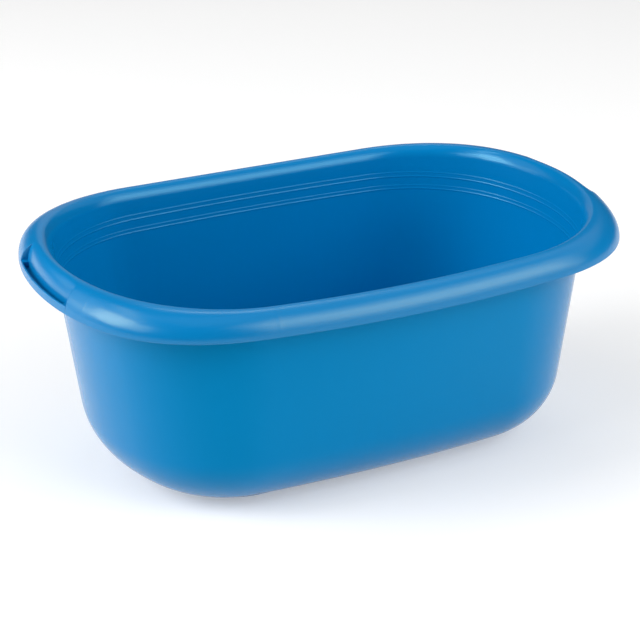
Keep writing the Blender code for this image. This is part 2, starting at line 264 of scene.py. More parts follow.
class Oval:
    """A symmetric oval of side, corner and end arcs. The corner radius follows from the rest."""

    def __init__(self, half_length, half_width, side_radius, end_radius, end_angle):
        self.side_radius = side_radius
        self.end_radius = end_radius
        self.end_angle = end_angle
        self.side_centre = Vector((0.0, half_width - side_radius))
        self.end_centre = Vector((half_length - end_radius, 0.0))
        outward = Vector((math.cos(end_angle), math.sin(end_angle)))
        joint = self.end_centre + outward * end_radius
        reach = joint - self.side_centre
        closing = 2 * (reach.dot(outward) - side_radius)
        self.corner_radius = (reach.length_squared - side_radius ** 2) / closing
        self.corner_centre = joint - outward * self.corner_radius
        to_corner = self.corner_centre - self.side_centre
        self.side_angle = math.atan2(to_corner.y, to_corner.x)

    def point(self, turn):
        """The point whose outward normal has this angle, and that normal."""
        normal = Vector((math.cos(turn), math.sin(turn)))
        folded = Vector((abs(normal.x), abs(normal.y)))
        lean = math.atan2(folded.y, folded.x)
        if lean <= self.end_angle:
            place = self.end_centre + folded * self.end_radius
        elif lean <= self.side_angle:
            place = self.corner_centre + folded * self.corner_radius
        else:
            place = self.side_centre + folded * self.side_radius
        return Vector((math.copysign(place.x, normal.x), math.copysign(place.y, normal.y))), normal

    def outside(self, place):
        """How far a point lies outside the oval, negative when it lies inside."""
        folded = Vector((abs(place.x), abs(place.y)))
        from_end = folded - self.end_centre
        if math.atan2(from_end.y, from_end.x) <= self.end_angle:
            return from_end.length - self.end_radius
        from_side = folded - self.side_centre
        if math.atan2(from_side.y, from_side.x) >= self.side_angle:
            return from_side.length - self.side_radius
        return (folded - self.corner_centre).length - self.corner_radius


def spread(start, stop, count):
    return [start + (stop - start) * index / count for index in range(count + 1)]


def blend(side_value, end_value, normal):
    return side_value * normal.y ** 2 + end_value * normal.x ** 2


class Cut:
    """One upright cut through the tub, square to the lip. r runs outward from the lip line."""

    def __init__(self, tub, turn):
        sizes = tub.sizes
        self.sizes = sizes
        self.lip, self.normal = tub.lip.point(turn)
        sweep = (self.lip.x / tub.half_length) ** 2
        self.lip_height = sizes.lip_height + sizes.lip_end_rise * sweep
        self.bead_rise = sizes.bead_end_rise * sweep
        self.draft = blend(sizes.side_draft, sizes.end_draft, self.normal)
        self.drop = blend(sizes.rim_side_drop, sizes.rim_end_drop, self.normal)
        corner = 4 * self.normal.x ** 2 * self.normal.y ** 2
        self.width = blend(sizes.rim_side_width, sizes.rim_end_width, self.normal)
        self.width += sizes.rim_corner_extra * corner
        self.crest = sizes.lip_crest + sizes.lip_land_shift
        self.bottom = self.lip_height - self.drop
        self.set_scoop(tub)
        self.set_flare()
        self.bend_z = sizes.foot_height + sizes.bend_radius
        bend_tangent = self.bend_z - sizes.bend_radius * math.sin(self.draft)
        self.bend_r = self.wall(bend_tangent) - sizes.bend_radius * math.cos(self.draft)

    def set_scoop(self, tub):
        """Where a grip's scoop leaves the roll, as a direction on it, and how far out it comes."""
        sizes = self.sizes
        at_end = min(1.0, abs(self.normal.y) / math.sin(tub.grip_turn)) ** SCOOP_END_POWER
        start = sizes.scoop_start + (sizes.scoop_end_start - sizes.scoop_start) * at_end
        self.scoop_turn = math.asin((start - self.crest) / (self.width - self.crest))
        self.scoop_width = self.width - sizes.bar_thickness - sizes.groove_width

    def set_flare(self):
        """The arc that leads from the inner wall to the lip's edge."""
        sizes = self.sizes
        lean = sizes.flare_lean
        start = sizes.lip_edge_radius * math.cos(lean) - sizes.lip_crest
        edge_depth = sizes.lip_edge_radius * (1 - math.sin(lean))
        across = math.cos(self.draft) - math.cos(lean)
        along = math.sin(lean) - math.sin(self.draft)
        run = sizes.wall_inset + sizes.shell / math.cos(self.draft) - start
        run += edge_depth * math.tan(self.draft)
        self.flare_radius = run / (across - along * math.tan(self.draft))
        self.flare_depth = edge_depth + self.flare_radius * along
        self.flare_r = -start + self.flare_radius * math.cos(lean)
        self.flare_z = self.lip_height - edge_depth - self.flare_radius * math.sin(lean)

    def wall(self, height):
        """r of the wall's outer face at a height."""
        return -self.sizes.wall_inset - (self.lip_height - height) * math.tan(self.draft)

    def inner_wall(self, height):
        return self.wall(height) - self.sizes.shell / math.cos(self.draft)

    def place(self, r, height):
        flat = self.lip + self.normal * r
        return Vector((flat.x, flat.y, height))

    def section(self, points):
        return [self.place(r, height) for r, height in points]


class Tub:
    """The lip's plan, and what follows from it."""

    def __init__(self, sizes):
        self.sizes = sizes
        self.half_length = sizes.tub_length / 2 - sizes.rim_end_width
        self.half_width = sizes.tub_width / 2 - sizes.rim_side_width
        self.lip = Oval(self.half_length, self.half_width, sizes.side_arc_radius,
                        sizes.end_arc_radius, sizes.end_arc_angle)
        rim_end = sizes.end_arc_radius + sizes.rim_end_width
        self.grip_turn = math.asin(sizes.grip_length / 2 / rim_end)
        self.groove_turn = math.asin(sizes.groove_length / 2 / rim_end)
        self.web_turn = sizes.shell / rim_end
        self.rounding_turn = sizes.edge_rounding / rim_end
        joint = sizes.end_arc_angle
        side = self.lip.side_angle
        joints = (-joint, joint, side, math.pi - side, math.pi - joint,
                  math.pi + joint, math.pi + side, 2 * math.pi - side, 2 * math.pi - joint)
        self.ends = dict(zip(REGIONS, zip(joints, joints[1:])))
        depth = max(Cut(self, turn).flare_depth for turn in spread(0.0, QUARTER, CORNER_STEPS))
        self.seam_height = sizes.lip_height - depth - sizes.seam_margin
        base_end = Cut(self, 0.0)
        base_side = Cut(self, QUARTER)
        self.foot = Oval(
            self.half_length + base_end.bend_r + sizes.foot_end_outset,
            self.half_width + base_side.bend_r + sizes.foot_side_outset,
            sizes.foot_side_arc_radius, sizes.foot_end_arc_radius, sizes.foot_end_arc_angle)

    def turns(self, region):
        """Directions of a region's cuts, with one close to each joint for its witness line."""
        start, stop = self.ends[region]
        if region.endswith("_end"):
            radius, count = self.sizes.end_arc_radius, END_STEPS + 2 * END_MARGIN_STEPS
        elif "_" in region:
            radius, count = self.lip.corner_radius, CORNER_STEPS
        else:
            radius, count = self.sizes.side_arc_radius, SIDE_STEPS
        near = self.sizes.witness_width / 2 / (radius + self.sizes.rim_side_width)
        return [start] + spread(start + near, stop - near, count) + [stop]

    def round_the_rim(self):
        return [Cut(self, turn) for region in REGIONS for turn in self.turns(region)[:-1]]


def roll(cut, turns, stand=0.0):
    """Quarter ellipse from the crest outward and down, raised by stand except at its two ends."""
    across = cut.width - cut.crest
    points = []
    for turn in turns:
        out = Vector((math.sin(turn) / across, math.cos(turn) / cut.drop)).normalized()
        raised = stand * math.sqrt(math.sin(2 * turn)) if 0.0 < turn < QUARTER else 0.0
        points.append((cut.crest + across * math.sin(turn) + raised * out.x,
                       cut.lip_height - cut.drop * (1 - math.cos(turn)) + raised * out.y))
    return points


def rounded(r, height, radius, start, stop):
    """Points of a rounding about a centre, between two directions, 0 outward and a quarter up."""
    return [(r + radius * math.cos(turn), height + radius * math.sin(turn))
            for turn in spread(start, stop, ROUNDING_STEPS)]


def flare(cut, radius, leans):
    return [(cut.flare_r - radius * math.cos(lean), cut.flare_z + radius * math.sin(lean))
            for lean in leans]


def low_turns(cut):
    """Directions on the roll of the groove's floor and of the bottom edge's rounding."""
    return math.acos(cut.sizes.shell / cut.drop), math.acos(cut.sizes.edge_rounding / cut.drop)


def plain_face(cut, stand=0.0):
    floor, foot = low_turns(cut)
    lead = spread(0.0, cut.scoop_turn, LEAD_STEPS)
    rest = spread(cut.scoop_turn, floor, ROLL_STEPS - LEAD_STEPS)[1:]
    return roll(cut, lead + rest + spread(floor, foot, LOW_STEPS)[1:], stand)


def scoop(cut, inset, low, turns):
    """Quarter ellipse down to a height, inset from the scoop's face. It leaves along the roll."""
    start, top = roll(cut, [cut.scoop_turn])[0]
    slope = cut.drop * math.tan(cut.scoop_turn) / (cut.width - cut.crest)
    across = cut.scoop_width - inset - start
    points = []
    for turn in turns:
        out = across * math.sin(turn)
        points.append((start + out, low + (top - inset - low - slope * out) * math.cos(turn)))
    return points


def scooped_face(cut):
    """Outer face inside a grip: along the roll, down the scoop, and out along the groove."""
    floor, foot = low_turns(cut)
    lead = roll(cut, spread(0.0, cut.scoop_turn, LEAD_STEPS))
    fillet = cut.sizes.groove_fillet
    root_height = cut.bottom + cut.sizes.shell + fillet
    down_steps = ROLL_STEPS - LEAD_STEPS - ROUNDING_STEPS - 1
    down = scoop(cut, 0.0, root_height, spread(0.0, QUARTER, down_steps))
    root = rounded(cut.scoop_width + fillet, root_height, fillet, math.pi, 3 * QUARTER)
    return lead + down[1:] + root[1:] + roll(cut, spread(floor, foot, LOW_STEPS))


def shelved_face(cut):
    """Outer face at a grip's end, where a shelf as high as the bar's top stops the groove."""
    shelf = cut.bottom + cut.sizes.bar_height
    _, foot = low_turns(cut)
    edge = roll(cut, spread(math.acos(cut.sizes.bar_height / cut.drop), foot, LOW_STEPS))
    return [(r, max(height, shelf)) for r, height in scooped_face(cut)[:-len(edge)]] + edge


def eased_face(cut, share_in):
    """The plain roll where it turns down to a grip, by a share of 1 at the cut and 0 beyond."""
    sunk = cut.sizes.edge_rounding * (1 - math.sqrt(1 - share_in ** 2))
    points = []
    for (r, height), (scoop_r, scoop_height) in zip(plain_face(cut), shelved_face(cut)):
        gap = Vector((scoop_r - r, scoop_height - height))
        step = min(1.0, sunk / gap.length) if gap.length > MERGE_DISTANCE else 0.0
        points.append((r + gap.x * step, height + gap.y * step))
    return points


def plain_underside(cut):
    """The roll one shell in, from its bottom edge's rounding up to near the crest."""
    sizes = cut.sizes
    depth = cut.drop - sizes.shell
    across = cut.width - sizes.shell - sizes.lip_crest
    low_turn = math.acos(sizes.edge_rounding / depth)
    return [(sizes.lip_crest + across * math.sin(turn), cut.bottom + depth * math.cos(turn))
            for turn in spread(low_turn, sizes.underside_start, UNDERSIDE_STEPS)]


def scooped_underside(cut):
    """The underside inside a grip, a shell inside the scoop."""
    turns = spread(QUARTER, cut.sizes.underside_start, UNDERSIDE_STEPS)
    return scoop(cut, cut.sizes.shell, cut.bottom + cut.sizes.edge_rounding, turns)


def lip_edge(cut):
    """From the flare's top over the narrow land to the crest."""
    sizes = cut.sizes
    radius = sizes.lip_edge_radius
    lean = sizes.lip_land_lean
    turns = spread(QUARTER - lean, QUARTER, LIP_EDGE_STEPS)[:-1]
    edge = [(cut.crest - radius * math.cos(turn), cut.lip_height - radius * (1 - math.sin(turn)))
            for turn in turns]
    top = Vector(edge[0])
    down = Vector((-math.cos(lean), -math.sin(lean))) * sizes.lip_land
    return [tuple(top + down * share_down) for share_down in LAND_SHARES] + edge


def rim_section(tub, cut, outer, under):
    """Rim cut with a given outer face and underside."""
    sizes = cut.sizes
    ease = sizes.edge_rounding
    foot = rounded(outer[-1][0] - ease, cut.bottom + ease, ease, 0.0, -QUARTER)[1:]
    foot += rounded(under[0][0] + ease, cut.bottom + ease, ease, -QUARTER, -2 * QUARTER)[:-1]
    back_leans = spread(sizes.flare_lean, cut.draft, FLARE_STEPS)
    back = flare(cut, cut.flare_radius - sizes.shell, back_leans)
    seam = [(side(tub.seam_height), tub.seam_height) for side in (cut.wall, cut.inner_wall)]
    edge = lip_edge(cut)
    top_lean = math.asin((edge[0][1] - cut.flare_z) / cut.flare_radius)
    face = flare(cut, cut.flare_radius, spread(cut.draft, top_lean, FLARE_STEPS))[:-1]
    return cut.section(outer + foot + under + back + seam + face + edge)


def plain_rim(tub, turn, stand=0.0):
    cut = Cut(tub, turn)
    return rim_section(tub, cut, plain_face(cut, stand), plain_underside(cut))


def web_rim(tub, turn, share_in):
    cut = Cut(tub, turn)
    return rim_section(tub, cut, eased_face(cut, share_in), scooped_underside(cut))


def scooped_rim(tub, turn, face=scooped_face):
    cut = Cut(tub, turn)
    return rim_section(tub, cut, face(cut), scooped_underside(cut))


def rim_rows(tub, region):
    """A region's rim sections from joint to joint. At an end, the grip lies between."""
    stand = tub.sizes.witness_stand
    turns = tub.turns(region)
    if not region.endswith("_end"):
        inner_rows = [plain_rim(tub, turn) for turn in turns[1:-1]]
        return [plain_rim(tub, turns[0], stand)] + inner_rows + [plain_rim(tub, turns[-1], stand)]
    middle = (turns[0] + turns[-1]) / 2
    grip = tub.grip_turn
    web = grip + tub.web_turn
    last = turns[-2] - middle
    # From the grip's middle out: how far to turn, the section made there, and what it's made with
    half = [(offset, scooped_rim) for offset in spread(0.0, tub.groove_turn, END_STEPS // 2)]
    half += [(offset, scooped_rim, shelved_face)
             for offset in spread(tub.groove_turn, grip, SHELF_STEPS)]
    half += [(grip + tub.rounding_turn * back, web_rim, 1 - back) for back in EASING]
    half += [(web, web_rim, 0.0)]
    half += [(offset, plain_rim) for offset in spread(web, last, END_MARGIN_STEPS)]
    half += [(turns[-1] - middle, plain_rim, stand)]
    before = [make(tub, middle - offset, *given) for offset, make, *given in half[:0:-1]]
    return before + [make(tub, middle + offset, *given) for offset, make, *given in half]


def wall_face(tub, cut, radius, face):
    """One face of the wall: a strip of floor, the bend, then up to the rim."""
    bend = [(cut.bend_r + radius * math.cos(turn), cut.bend_z - radius * math.sin(turn))
            for turn in spread(QUARTER, cut.draft, BEND_STEPS)]
    heights = spread(bend[-1][1], tub.seam_height, WALL_STEPS)[1:]
    strip = [(cut.bend_r - FLOOR_SEAM_INSET, bend[0][1])]
    return strip + bend + [(face(height), height) for height in heights]


def wall_rows(tub, region):
    rows = []
    for turn in tub.turns(region):
        cut = Cut(tub, turn)
        outer = wall_face(tub, cut, tub.sizes.bend_radius, cut.wall)
        inner = wall_face(tub, cut, tub.sizes.bend_radius - tub.sizes.shell, cut.inner_wall)
        rows.append(cut.section(outer + inner[::-1]))
    return rows


def bar_section(tub, turn):
    """The outer bar of a grip, from the groove's floor to its rounded top."""
    cut = Cut(tub, turn)
    sizes = cut.sizes
    ease = sizes.bar_rounding
    top = cut.bottom + sizes.bar_height - ease
    floor, _ = low_turns(cut)
    outer = roll(cut, spread(floor, math.acos((top - cut.bottom) / cut.drop), BAR_STEPS))
    inner_r = cut.width - sizes.bar_thickness
    nose = rounded(outer[-1][0] - ease, top, ease, 0.0, QUARTER)[1:]
    nose += rounded(inner_r + ease, top, ease, QUARTER, 2 * QUARTER)
    return cut.section(outer + nose + [(inner_r, outer[0][1])])


def bead_section(tub, cut, depth, pitch):
    """A low band inside the wall, rooted in it, with a rounded ridge along both edges."""
    sizes = cut.sizes
    middle = sizes.lip_height - depth + cut.bead_rise
    half = sizes.ridge_width / 2
    face = []
    for side, ridge_share in ((-1, 1.0), (1, sizes.upper_ridge_share)):
        for offset in spread(-half, half, RIDGE_STEPS):
            ridge = sizes.ridge_stand * ridge_share * math.cos(QUARTER * offset / half) ** 2
            inside = offset * side < 0
            stand = max(ridge, sizes.bead_band_stand) if inside else ridge
            face.append((middle + side * pitch / 2 + offset, stand))
    points = [(cut.inner_wall(height) - stand, height) for height, stand in face]
    root = sizes.shell / 2
    points += [(cut.inner_wall(height) + root, height) for height in (face[-1][0], face[0][0])]
    return cut.section(points)


def foot_section(tub, cut):
    """The rib under the bend. Its outer face is found on the foot's own oval."""
    sizes = cut.sizes
    inside_r = cut.bend_r - sizes.foot_width
    outside_r = cut.bend_r + sizes.bend_radius
    for _ in range(FOOT_SEARCH_STEPS):
        outer_r = (inside_r + outside_r) / 2
        if tub.foot.outside(cut.lip + cut.normal * outer_r) > 0:
            outside_r = outer_r
        else:
            inside_r = outer_r
    ease = sizes.edge_rounding
    taper = sizes.foot_taper
    inner_r = outer_r - sizes.foot_width

    def rooted(r):
        beyond = max(r - cut.bend_r, 0.0)
        return cut.bend_z - math.sqrt(sizes.bend_radius ** 2 - beyond ** 2) + sizes.shell / 2

    top = [(inner_r, rooted(inner_r)), (outer_r, rooted(outer_r))]
    foot = rounded(outer_r - taper - ease, ease, ease, 0.0, -QUARTER)
    foot += rounded(inner_r + taper + ease, ease, ease, -QUARTER, -2 * QUARTER)
    return cut.section(top + foot)


def closed_edges(shape, verts):
    """New edges from each vertex to the next, and from the last to the first."""
    return [shape.edges.new((verts[index - 1], verts[index])) for index in range(len(verts))]


def of_kind(items, kind):
    return [item for item in items if isinstance(item, kind)]


def grow(rows, ring=False):
    """Extrude a closed section from row to row. A ring ends at its first row, a run is capped."""
    shape = bmesh.new()
    place = shape.verts.layers.int.new("place")
    step = shape.verts.layers.int.new("row")
    row = [shape.verts.new(point) for point in rows[0]]
    for index, vert in enumerate(row):
        vert[place] = index
    edges = closed_edges(shape, row)
    if not ring:
        shape.faces.new(row)
    for count, section in enumerate(rows[1:] + (rows[:1] if ring else [])):
        grown = bmesh.ops.extrude_edge_only(shape, edges=edges)["geom"]
        row = of_kind(grown, bmesh.types.BMVert)
        edges = [edge for edge in of_kind(grown, bmesh.types.BMEdge) if edge.is_boundary]
        for vert in row:
            vert.co = section[vert[place]]
            vert[step] = count + 1
    if not ring:
        shape.faces.new(sorted(row, key=lambda vert: vert[place]))
    bmesh.ops.remove_doubles(shape, verts=shape.verts, dist=MERGE_DISTANCE)
    bmesh.ops.recalc_face_normals(shape, faces=shape.faces)
    return shape


def shaded_mesh(node, shape):
    mesh = bpy.data.meshes.new(node + "_moulding")
    shape.to_mesh(mesh)
    shape.free()
    mesh.shade_smooth()
    mesh.set_sharp_from_angle(angle=SHARP_ANGLE)
    return mesh


def joined_mesh(node, rows, first, last):
    """A run of rows, shaded as one with its neighbours. first and last are their nearest rows."""
    whole = shaded_mesh(node, grow([first] + rows + [last]))
    facings = [corner.vector.copy() for corner in whole.corner_normals]
    shape = bmesh.new()
    shape.from_mesh(whole)
    bpy.data.meshes.remove(whole)
    shade = shape.loops.layers.float_vector.new("shade")
    corners = [corner for face in shape.faces for corner in face.loops]
    for corner, facing in zip(corners, facings):
        corner[shade] = facing
    step = shape.verts.layers.int["row"]
    spare = [face for face in shape.faces
             if any(vert[step] in (0, len(rows) + 1) for vert in face.verts)]
    bmesh.ops.delete(shape, geom=spare, context="FACES")
    open_edges = [edge for edge in shape.edges if edge.is_boundary]
    caps = bmesh.ops.holes_fill(shape, edges=open_edges, sides=0)["faces"]
    bmesh.ops.recalc_face_normals(shape, faces=shape.faces)
    for face in caps:
        for corner in face.loops:
            corner[shade] = face.normal
    mesh = shaded_mesh(node, shape)
    mesh.normals_split_custom_set([item.vector.copy() for item in mesh.attributes["shade"].data])
    return mesh


def joined_meshes(tub, make_rows, ending):
    """A mesh for each region's node, from its rows, each shaded as one with the next."""
    rows = [make_rows(tub, region) for region in REGIONS]
    meshes = {}
    for index, region in enumerate(REGIONS):
        before = rows[index - 1][-2]
        after = rows[(index + 1) % len(REGIONS)][1]
        meshes[region + ending] = joined_mesh(region + ending, rows[index], before, after)
    return meshes


def add_piece(node, mesh, *finishes):
    """Show a mesh in place of a node, with a material slot for each finish."""
    for made_with in ("place", "row", "shade"):
        if made_with in mesh.attributes:
            mesh.attributes.remove(mesh.attributes[made_with])
    for finish in finishes:
        mesh.materials.append(moulded_plastic(finish))
    piece = bpy.data.objects.new(node + "_moulding", mesh)
    bpy.context.scene.collection.objects.link(piece)
    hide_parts(node)
    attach(piece, BODY)


def floor_shape(tub):
    """A flat slab out to the walls, with the mould's gate mark sunk into its underside."""
    sizes = tub.sizes
    shape = bmesh.new()
    border = [shape.verts.new(cut.place(cut.bend_r - FLOOR_SEAM_INSET, sizes.foot_height))
              for cut in tub.round_the_rim()]
    border_edges = closed_edges(shape, border)
    underside = Matrix.Translation((0.0, 0.0, sizes.foot_height))
    mark = bmesh.ops.create_circle(shape, segments=GATE_SEGMENTS, radius=sizes.gate_radius,
                                   matrix=underside)["verts"]
    mark_edges = list({edge for vert in mark for edge in vert.link_edges})
    bmesh.ops.bridge_loops(shape, edges=border_edges + mark_edges)
    for edges, rise in ((mark_edges, sizes.gate_depth), (border_edges, sizes.shell)):
        grown = bmesh.ops.extrude_edge_only(shape, edges=edges)["geom"]
        verts = of_kind(grown, bmesh.types.BMVert)
        bmesh.ops.translate(shape, verts=verts, vec=(0.0, 0.0, rise))
        top_edges = [edge for edge in shape.edges if edge.is_boundary and edge.verts[0] in verts]
        bmesh.ops.holes_fill(shape, edges=top_edges, sides=0)
    bmesh.ops.recalc_face_normals(shape, faces=shape.faces)
    return shape


def add_node(tree, kind, **settings):
    made = tree.nodes.new(kind)
    for key, value in settings.items():
        setattr(made, key, value)
    return made


def moulded_surface_group():
    """Soft changes of shade and gloss over a moulding, drawn streaks, and a faint orange peel."""
    tree = bpy.data.node_groups.new("moulded_surface", "ShaderNodeTree")
    sockets = {
        "INPUT": {"Colour": "Color", "Shade Range": "Float", "Roughness": "Float",
                  "Gloss Range": "Float", "Streaks": "Float", "Peel Height": "Float"},
        "OUTPUT": {"Colour": "Color", "Roughness": "Float", "Normal": "Vector"},
    }
    for side, kinds in sockets.items():
        for name, kind in kinds.items():
            tree.interface.new_socket(name, in_out=side, socket_type="NodeSocket" + kind)
    link = tree.links.new
    given = add_node(tree, "NodeGroupInput").outputs
    out = add_node(tree, "NodeGroupOutput").inputs
    place = add_node(tree, "ShaderNodeTexCoord").outputs["Object"]

    def noise(scale, detail, squeeze=None):
        texture = add_node(tree, "ShaderNodeTexNoise")
        texture.inputs["Scale"].default_value = scale
        texture.inputs["Detail"].default_value = detail
        if squeeze:
            mapping = add_node(tree, "ShaderNodeMapping")
            mapping.inputs["Scale"].default_value = squeeze
            link(place, mapping.inputs["Vector"])
            link(mapping.outputs["Vector"], texture.inputs["Vector"])
        else:
            link(place, texture.inputs["Vector"])
        return texture.outputs["Fac"]

    def combine(operation, first, second):
        made = add_node(tree, "ShaderNodeMath", operation=operation)
        for target, value in zip(made.inputs, (first, second)):
            if isinstance(value, float):
                target.default_value = value
            else:
                link(value, target)
        return made.outputs["Value"]

    cloud = combine("SUBTRACT", noise(*CLOUDS), NOISE_MIDDLE)
    streak = combine("SUBTRACT", noise(*STREAKS, STREAK_SQUEEZE), NOISE_MIDDLE)
    streak = combine("MULTIPLY", streak, given["Streaks"])
    drift = combine("MULTIPLY", combine("ADD", cloud, streak), given["Shade Range"])
    tinted = add_node(tree, "ShaderNodeVectorMath", operation="SCALE")
    link(given["Colour"], tinted.inputs["Vector"])
    link(combine("ADD", drift, 1.0), tinted.inputs["Scale"])
    link(tinted.outputs["Vector"], out["Colour"])
    gloss = combine("SUBTRACT", combine("ADD", noise(*MOTTLE), streak), NOISE_MIDDLE)
    gloss = combine("MULTIPLY", gloss, given["Gloss Range"])
    link(combine("ADD", gloss, given["Roughness"]), out["Roughness"])
    broad_peel = combine("MULTIPLY", noise(*BROAD_PEEL), BROAD_PEEL_STRENGTH)
    bump = add_node(tree, "ShaderNodeBump")
    bump.inputs["Strength"].default_value = 1.0
    link(given["Peel Height"], bump.inputs["Distance"])
    link(combine("ADD", noise(*FINE_PEEL), broad_peel), bump.inputs["Height"])
    link(bump.outputs["Normal"], out["Normal"])
    return tree


def moulded_plastic(finish):
    """Semi-gloss blue plastic with the shared moulded surface in it, made once for each finish."""
    if finish in bpy.data.materials:
        return bpy.data.materials[finish]
    sheen, roughness_change, streaks = FINISHES[finish]
    look = bpy.context.scene.laundry_tub_plastic
    surface = bpy.data.node_groups.get("moulded_surface") or moulded_surface_group()
    material = bpy.data.materials.new(finish)
    material.use_nodes = True
    tree = material.node_tree
    shader = tree.nodes["Principled BSDF"]
    shader.inputs["Metallic"].default_value = 0.0
    shader.inputs["IOR"].default_value = PLASTIC_IOR
    # The specular tint is painted reflection colour, which differs from part to part of the one
    # plastic.
    shader.inputs["Specular Tint"].default_value = (*getattr(look, sheen), 1.0)
    group = add_node(tree, "ShaderNodeGroup", node_tree=surface)
    group.inputs["Colour"].default_value = (*look.blue, 1.0)
    group.inputs["Shade Range"].default_value = look.shade_range
    group.inputs["Roughness"].default_value = look.roughness + roughness_change
    group.inputs["Gloss Range"].default_value = look.gloss_range
    group.inputs["Streaks"].default_value = streaks
    group.inputs["Peel Height"].default_value = PEEL_HEIGHT
    tree.links.new(group.outputs["Colour"], shader.inputs["Base Color"])
    tree.links.new(group.outputs["Roughness"], shader.inputs["Roughness"])
    tree.links.new(group.outputs["Normal"], shader.inputs["Normal"])
    return material


def tub_of(context):
    return Tub(context.scene.laundry_tub_sizes)


class LAUNDRY_TUB_OT_floor_panel(bpy.types.Operator):
    """Add the flat floor with the gate mark under it"""

    bl_idname = "laundry_tub.floor_panel"
    bl_label = "Floor panel"

    def execute(self, context):
        shape = floor_shape(tub_of(context))
        add_piece("floor_panel", shaded_mesh("floor_panel", shape), "floor_plastic")
        return {"FINISHED"}


class LAUNDRY_TUB_OT_foot_ring(bpy.types.Operator):
    """Add the oval rib that the tub stands on"""

    bl_idname = "laundry_tub.foot_ring"
    bl_label = "Foot ring"

    def execute(self, context):
        tub = tub_of(context)
        rows = [foot_section(tub, cut) for cut in tub.round_the_rim()]
        add_piece("foot_ring", shaded_mesh("foot_ring", grow(rows, ring=True)), "foot_plastic")
        return {"FINISHED"}


class LAUNDRY_TUB_OT_walls(bpy.types.Operator):
    """Add the eight wall sections with their bend to the floor"""

    bl_idname = "laundry_tub.walls"
    bl_label = "Walls"

    def execute(self, context):
        for node, mesh in joined_meshes(tub_of(context), wall_rows, "_wall").items():
            add_piece(node, mesh, "wall_plastic")
        return {"FINISHED"}


class LAUNDRY_TUB_OT_rims(bpy.types.Operator):
    """Add the eight rim sections: flare, lip and roll, with the scoops at the two ends"""

    bl_idname = "laundry_tub.rims"
    bl_label = "Rims"

    def execute(self, context):
        tub = tub_of(context)
        for node, mesh in joined_meshes(tub, rim_rows, "_rim").items():
            # The flare faces get a material of their own only for their bluer painted reflection
            # tint.
            for polygon in mesh.polygons:
                on_flare = tub.lip.outside(polygon.center.xy) < -tub.sizes.lip_land
                polygon.material_index = int(on_flare)
            add_piece(node, mesh, "rim_plastic", "flare_plastic")
        return {"FINISHED"}


class LAUNDRY_TUB_OT_beads(bpy.types.Operator):
    """Add the two beads inside the wall, each with a ridge along both edges"""

    bl_idname = "laundry_tub.beads"
    bl_label = "Beads"

    def execute(self, context):
        tub = tub_of(context)
        sizes = tub.sizes
        for node, depth, pitch in (
                ("upper_bead", sizes.upper_bead_depth, sizes.upper_bead_pitch),
                ("lower_bead", sizes.lower_bead_depth, sizes.lower_bead_pitch)):
            rows = [bead_section(tub, cut, depth, pitch) for cut in tub.round_the_rim()]
            add_piece(node, shaded_mesh(node, grow(rows, ring=True)), "bead_plastic")
        return {"FINISHED"}


class LAUNDRY_TUB_OT_grip_bars(bpy.types.Operator):
    """Add the outer bar of the grip at each end"""

    bl_idname = "laundry_tub.grip_bars"
    bl_label = "Grip bars"

    def execute(self, context):
        tub = tub_of(context)
        for node, middle in (("right_grip_bar", 0.0), ("left_grip_bar", math.pi)):
            turns = spread(middle - tub.groove_turn, middle + tub.groove_turn, END_STEPS)
            rows = [bar_section(tub, turn) for turn in turns]
            add_piece(node, shaded_mesh(node, grow(rows)), "rim_plastic")
        return {"FINISHED"}


def direction(azimuth, elevation):
    """From the tub toward a lamp or camera. Azimuth 0 is the front, positive to the right."""
    flat = math.cos(elevation)
    return Vector((math.sin(azimuth) * flat, -math.cos(azimuth) * flat, math.sin(elevation)))


def soft_lamp(name, azimuth, elevation, breadth, height, radiance):
    """A rectangular lamp that faces the tub. breadth and height are angles as the tub sees them."""
    data = bpy.data.lights.new(name, "AREA")
    data.shape = "RECTANGLE"
    data.size = 2 * LAMP_DISTANCE * math.tan(math.radians(breadth) / 2)
    data.size_y = 2 * LAMP_DISTANCE * math.tan(math.radians(height) / 2)
    data.energy = radiance * data.size * data.size_y * WATTS_PER_RADIANCE
    lamp = bpy.data.objects.new(name, data)
    bpy.context.scene.collection.objects.link(lamp)
    toward = direction(math.radians(azimuth), math.radians(elevation))
    lamp.location = TUB_MIDDLE + toward * LAMP_DISTANCE
    lamp.rotation_euler = toward.to_track_quat("Z", "Y").to_euler()
    lamp.visible_camera = False


def studio_floor_material(stage):
    """A matt floor with a faint glow, which is seen and mirrored but gives no diffuse light."""
    material = bpy.data.materials.new("studio_floor")
    material.use_nodes = True
    tree = material.node_tree
    link = tree.links.new
    shader = tree.nodes["Principled BSDF"]
    shader.inputs["Base Color"].default_value = (*[stage.floor_colour] * 3, 1.0)
    shader.inputs["Roughness"].default_value = STUDIO_FLOOR_ROUGHNESS
    shader.inputs["Specular IOR Level"].default_value = 0.0
    glow = add_node(tree, "ShaderNodeEmission")
    glow.inputs["Strength"].default_value = stage.floor_lift
    rays = add_node(tree, "ShaderNodeLightPath").outputs
    shown = rays["Is Camera Ray"]
    for ray in ("Is Glossy Ray", "Is Transmission Ray"):
        either = add_node(tree, "ShaderNodeMath", operation="MAXIMUM")
        link(shown, either.inputs[0])
        link(rays[ray], either.inputs[1])
        shown = either.outputs["Value"]
    lift = add_node(tree, "ShaderNodeMixShader")
    link(shown, lift.inputs["Fac"])
    link(glow.outputs["Emission"], lift.inputs[2])
    total = add_node(tree, "ShaderNodeAddShader")
    link(shader.outputs["BSDF"], total.inputs[0])
    link(lift.outputs["Shader"], total.inputs[1])
    link(total.outputs["Shader"], tree.nodes["Material Output"].inputs["Surface"])
    return material


